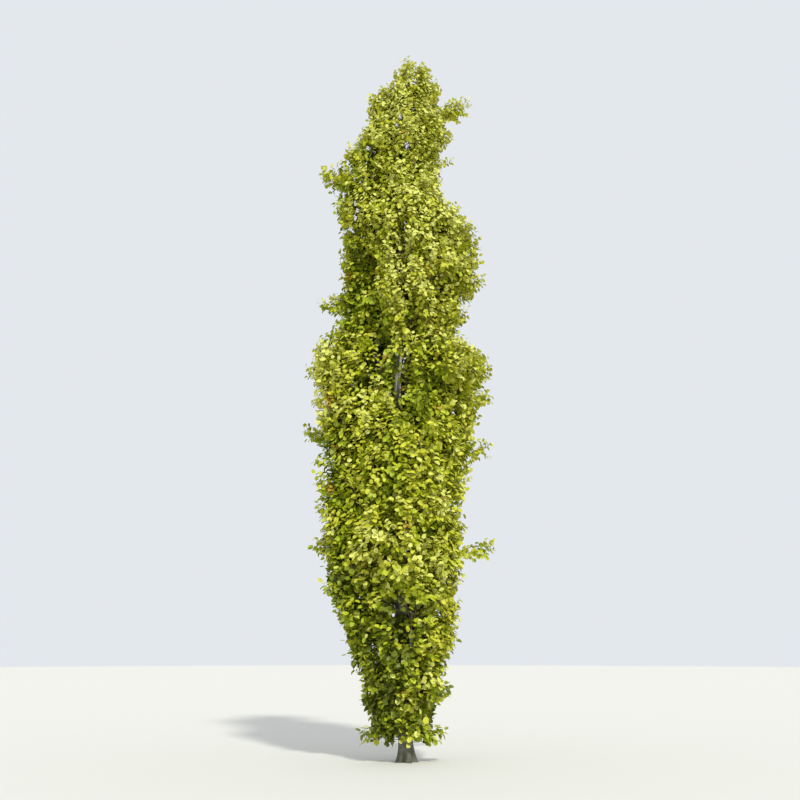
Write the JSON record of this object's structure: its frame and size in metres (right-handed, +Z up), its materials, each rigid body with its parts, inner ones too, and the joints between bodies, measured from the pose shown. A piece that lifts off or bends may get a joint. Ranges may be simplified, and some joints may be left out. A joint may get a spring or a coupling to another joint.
{
  "type": "columnar beech tree",
  "caption": "Columnar beech in fresh golden spring leaf: one slim trunk with a low root flare, steep boughs and a tall narrow crown of leafy masses down to the ground.",
  "frame": {"origin": "middle of the trunk's flat cut at ground level", "axes": "+Z up along the trunk, +X to the right of the pictured side, -Y towards the viewer of the picture"},
  "size_m": [2.8001, 2.5132, 10.4974],
  "materials": {
    "bark": "smooth light grey bark, matt",
    "foliage": "thin golden green leaves with a soft sheen"
  },
  "bodies": {
    "root": {"trunk": "bark", "bough_right_2": "bark", "bough_right_3": "bark", "bough_right_4": "bark", "bough_right_5": "bark", "bough_right_6": "bark", "bough_back_2": "bark", "bough_back_3": "bark", "bough_back_4": "bark", "bough_back_5": "bark", "bough_back_6": "bark", "bough_left_2": "bark", "bough_left_3": "bark", "bough_left_4": "bark", "bough_left_5": "bark", "bough_left_6": "bark", "bough_front_2": "bark", "bough_front_3": "bark", "bough_front_4": "bark", "bough_front_5": "bark", "foliage_right_1": "foliage", "foliage_right_2": "foliage", "foliage_right_3": "foliage", "foliage_right_4": "foliage", "foliage_right_5": "foliage", "foliage_right_6": "foliage", "foliage_right_7": "foliage", "foliage_back_1": "foliage", "foliage_back_2": "foliage", "foliage_back_3": "foliage", "foliage_back_4": "foliage", "foliage_back_5": "foliage", "foliage_back_6": "foliage", "foliage_left_1": "foliage", "foliage_left_2": "foliage", "foliage_left_3": "foliage", "foliage_left_4": "foliage", "foliage_left_5": "foliage", "foliage_left_6": "foliage", "foliage_left_7": "foliage", "foliage_front_1": "foliage", "foliage_front_2": "foliage", "foliage_front_3": "foliage", "foliage_front_4": "foliage", "foliage_front_5": "foliage", "foliage_front_6": "foliage", "foliage_top": "foliage"}
  },
  "joints": []
}
